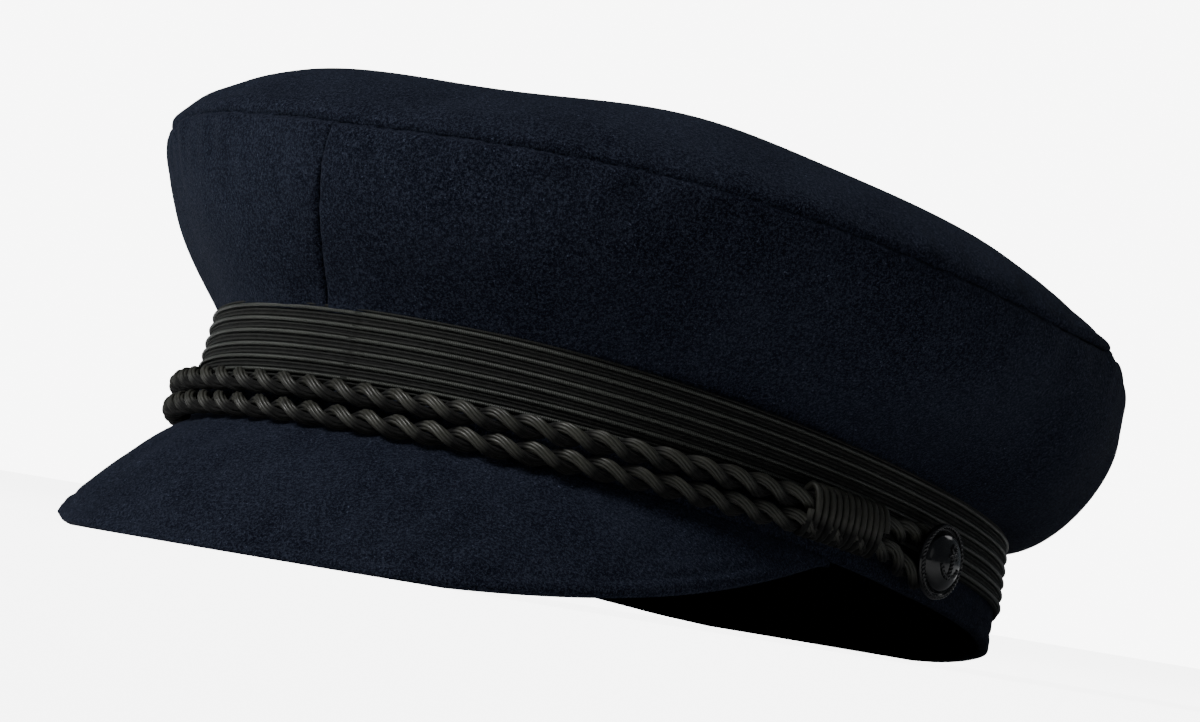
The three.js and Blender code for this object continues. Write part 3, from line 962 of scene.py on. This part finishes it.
class CAP_OT_cord(bpy.types.Operator):
    """Build the looped cord and its wound knots"""
    bl_idname = "cap.cord"
    bl_label = "Cord and knots"

    def execute(self, context):
        material = thread("cord_black", context.scene.cap_colours.cord, 0.34, 0.0)
        finish_piece(cord(strands_tree(), material), "cord", "cord")
        for side, name in ((1, "knot_left"), (-1, "knot_right")):
            finish_piece(knot(strands_tree(), side, material), "cord", name)
        return {"FINISHED"}


class CAP_OT_buttons(bpy.types.Operator):
    """Build the two domed buttons"""
    bl_idname = "cap.buttons"
    bl_label = "Buttons"

    def execute(self, context):
        material = button_material()
        for side, name in ((1, "button_left"), (-1, "button_right")):
            finish_piece(button(side, material), "button", name)
            finish_piece(button_relief(strands_tree(), side, material), "button")
        return {"FINISHED"}


def level_to_rest(vector):
    """Turns a direction of the level cap as the resting cap is turned."""
    return Matrix.Rotation(-TILT, 3, "X") @ vector


def add_camera(sizes):
    az, el = sizes.azimuth, sizes.elevation
    back = Vector((math.sin(az) * math.cos(el), -math.cos(az) * math.cos(el), math.sin(el)))
    right = (-back).cross(Vector((0, 0, 1))).normalized()
    up = right.cross(-back)
    turn = sizes.roll
    rolled_right = math.cos(turn) * right + math.sin(turn) * up
    rolled_up = math.cos(turn) * up - math.sin(turn) * right
    aim = Vector(settle(np.array([0.0, 0.0, 35.0])))
    data = bpy.data.cameras.new("camera")
    data.lens = sizes.lens
    data.sensor_width = 36.0
    data.clip_start = 0.05
    camera = bpy.data.objects.new("camera", data)
    axes = [level_to_rest(axis) for axis in (rolled_right, rolled_up, back)]
    place_at = aim + axes[2] * sizes.reach
    pixel = 36.0 / 1200.0 / sizes.lens * sizes.reach
    place_at += (axes[0] * AIM_RIGHT + axes[1] * AIM_UP) * pixel
    camera.matrix_world = Matrix.Translation(place_at) @ Matrix(axes).transposed().to_4x4()
    bpy.context.scene.collection.objects.link(camera)
    bpy.context.scene.camera = camera


AIM_RIGHT = -32.5
AIM_UP = 25.0


def add_area(name, place_at, size, power, target, colour=(1.0, 1.0, 1.0)):
    data = bpy.data.lights.new(name, "AREA")
    data.shape = "DISK"
    data.size = size
    data.energy = power
    data.color = colour
    light = bpy.data.objects.new(name, data)
    light.location = place_at
    light.rotation_euler = (Vector(target) - Vector(place_at)).to_track_quat("-Z", "Y").to_euler()
    bpy.context.scene.collection.objects.link(light)


class CAP_OT_stage(bpy.types.Operator):
    """Set the floor, the lights and the camera"""
    bl_idname = "cap.stage"
    bl_label = "Stage"

    def execute(self, context):
        add_camera(context.scene.cap_sizes)
        floor_colour = context.scene.cap_colours.floor
        material, nodes = new_material("pale_floor")
        ray = nodes.node("ShaderNodeLightPath").other("Is Camera Ray")
        glow = blend_colour(nodes, ray, (0.0, 0.0, 0.0, 1.0), (1.0, 1.0, 1.0, 1.0))
        finish_material(material, nodes, {
            "Base Color": (*floor_colour, 1.0), "Roughness": 0.9,
            "Emission Color": glow, "Emission Strength": 6.0,
        })
        half = 30.0
        corners = np.array([(-half, -half, 0), (half, -half, 0), (half, half, 0), (-half, half, 0)], float)
        mesh_object("floor", corners, [[0, 1, 2, 3]], smooth=False, material=material)
        add_area("key", (-0.9, -1.5, 1.5), 0.9, 60.0, (0.0, 0.0, 0.05))
        add_area("fill", (1.8, -1.2, 0.9), 1.2, 1.2, (0.0, 0.0, 0.05))
        add_area("back", (0.5, 1.6, 1.4), 1.0, 5.0, (0.0, 0.0, 0.05))
        world = bpy.data.worlds.new("studio")
        world.use_nodes = True
        sky = Nodes(world.node_tree)
        shown = sky.node("ShaderNodeBackground", {}, {"Color": (1.0, 1.0, 1.0, 1.0), "Strength": 8.0})
        lit = sky.node("ShaderNodeBackground", {}, {"Color": (0.8, 0.9, 1.0, 1.0), "Strength": 0.10})
        ray = sky.node("ShaderNodeLightPath").other("Is Camera Ray")
        mixed = sky.node("ShaderNodeMixShader", {}, {0: ray, 1: lit, 2: shown})
        sky.node("ShaderNodeOutputWorld", {}, {"Surface": mixed})
        context.scene.world = world
        return {"FINISHED"}


class CAP_PT_panel(bpy.types.Panel):
    """The cap's pieces in the sidebar"""
    bl_idname = "CAP_PT_panel"
    bl_label = "Sailor Cap"
    bl_space_type = "VIEW_3D"
    bl_region_type = "UI"
    bl_category = "Sailor Cap"

    def draw(self, context):
        for group in (context.scene.cap_sizes, context.scene.cap_colours):
            for name in group.__annotations__:
                self.layout.prop(group, name)
        for operator in OPERATORS:
            self.layout.operator(operator.bl_idname)


OPERATORS = (CAP_OT_crown, CAP_OT_band, CAP_OT_peak, CAP_OT_cord, CAP_OT_buttons, CAP_OT_stage)
CLASSES = (CapSizes, CapColours, *OPERATORS, CAP_PT_panel)


def register():
    for item in CLASSES:
        bpy.utils.register_class(item)
    bpy.types.Scene.cap_sizes = PointerProperty(type=CapSizes)
    bpy.types.Scene.cap_colours = PointerProperty(type=CapColours)


def unregister():
    del bpy.types.Scene.cap_colours
    del bpy.types.Scene.cap_sizes
    for item in reversed(CLASSES):
        bpy.utils.unregister_class(item)


# The origin is the middle of the footprint, so the peak's edge gives the shift along Y.
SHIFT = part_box("peak")[0][1] / MM - tip_back(peak_level(np.array([0.0]), np.array([1.0]), np.array([0.0])))[0, 1]


def main():
    register()
    bpy.ops.cap.crown()
    bpy.ops.cap.band()
    bpy.ops.cap.peak()
    bpy.ops.cap.cord()
    bpy.ops.cap.buttons()
    bpy.ops.cap.stage()


if __name__ == "__main__":
    main()
